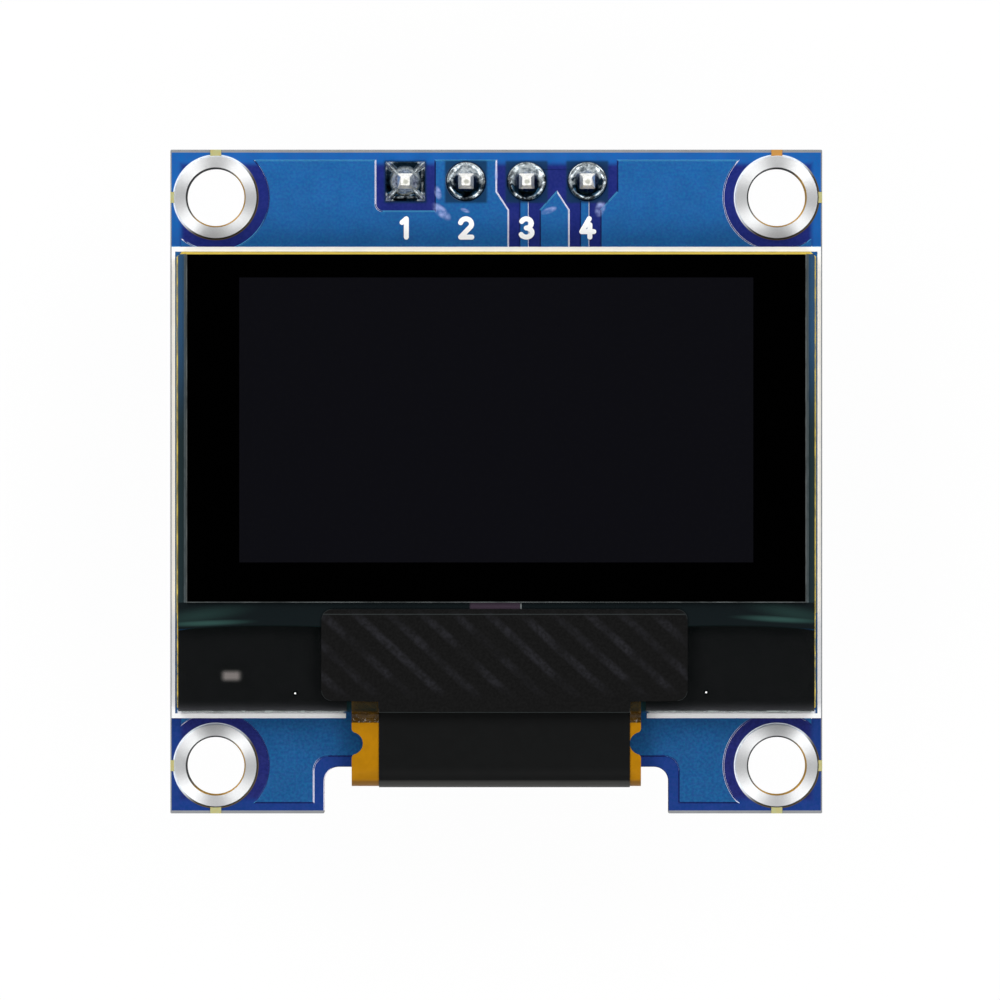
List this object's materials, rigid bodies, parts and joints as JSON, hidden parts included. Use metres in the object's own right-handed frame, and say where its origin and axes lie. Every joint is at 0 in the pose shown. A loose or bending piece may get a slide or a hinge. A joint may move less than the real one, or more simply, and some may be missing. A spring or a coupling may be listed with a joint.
{
  "type": "small oled display module",
  "caption": "Small glass display panel on a nearly square circuit board with corner mounting holes, a pin header behind one edge and a flex tail folded round the other.",
  "frame": {"origin": "centre of the four mounting holes, on the back face of the circuit board", "axes": "+Z out of the screen, +Y from the flex edge towards the header edge, +X to the right as the screen is seen with the header at the top"},
  "size_m": [0.0274, 0.0278, 0.0114],
  "materials": {
    "board_mask": "blue solder mask on glass-fibre laminate, satin gloss",
    "header_plastic": "black moulded nylon",
    "print_white": "white printed ink",
    "adhesive": "pale yellow adhesive tape",
    "rear_glass": "clear glass seen against its dark drying sheet",
    "seal_resin": "cured sealing resin",
    "drying_sheet": "pale drying sheet",
    "pixel_layer": "dark switched-off pixels",
    "front_glass": "clear polished glass",
    "polariser_film": "black polarising film, satin",
    "bare_silicon": "bare silicon with a mauve sheen",
    "black_tape": "black film tape, matt",
    "support_foam": "dense black foam",
    "amber_film": "amber polyimide film",
    "black_coverlay": "black polyimide coverlay",
    "clear_glue": "clear cured glue",
    "solder": "shiny reflowed solder",
    "moulded_case": "black moulded epoxy",
    "tinned_lead": "tinned copper lead",
    "plated_ring": "bright solder-coated copper",
    "plated_pad": "bright solder-coated copper",
    "tinned_pin": "tinned brass pin",
    "capacitor_ceramic": "tan ceramic with tinned ends",
    "resistor_ceramic": "black glazed ceramic with tinned ends"
  },
  "bodies": {
    "root": {"circuit_board": "board_mask", "header_body": "header_plastic", "printed_frame": "print_white", "adhesive_tape": "adhesive", "rear_glass": "rear_glass", "seal": "seal_resin", "drying_sheet": "drying_sheet", "pixel_layer": "pixel_layer", "front_glass": "front_glass", "polariser": "polariser_film", "driver_chip": "bare_silicon", "light_shield": "black_tape", "left_support": "support_foam", "right_support": "support_foam", "flex_tail": "amber_film", "coverlay": "black_coverlay", "glue_bead": "clear_glue", "flex_solder_row": "solder", "regulator_body": "moulded_case", "diode_body": "moulded_case", "regulator_leads": "tinned_lead", "diode_leads": "tinned_lead", "chip_solder": "solder", "hole_ring_1": "plated_ring", "pin_pad_1": "plated_pad", "header_pin_1": "tinned_pin", "pin_solder_1": "solder", "hole_ring_2": "plated_ring", "pin_pad_2": "plated_pad", "header_pin_2": "tinned_pin", "pin_solder_2": "solder", "hole_ring_3": "plated_ring", "pin_pad_3": "plated_pad", "header_pin_3": "tinned_pin", "pin_solder_3": "solder", "hole_ring_4": "plated_ring", "pin_pad_4": "plated_pad", "header_pin_4": "tinned_pin", "pin_solder_4": "solder", "capacitor_1": "capacitor_ceramic", "capacitor_2": "capacitor_ceramic", "capacitor_3": "capacitor_ceramic", "capacitor_4": "capacitor_ceramic", "capacitor_5": "capacitor_ceramic", "capacitor_6": "capacitor_ceramic", "capacitor_7": "capacitor_ceramic", "resistor_1": "resistor_ceramic", "resistor_2": "resistor_ceramic", "resistor_3": "resistor_ceramic", "resistor_4": "resistor_ceramic", "resistor_5": "resistor_ceramic", "resistor_6": "resistor_ceramic", "resistor_7": "resistor_ceramic", "resistor_8": "resistor_ceramic"}
  },
  "joints": []
}
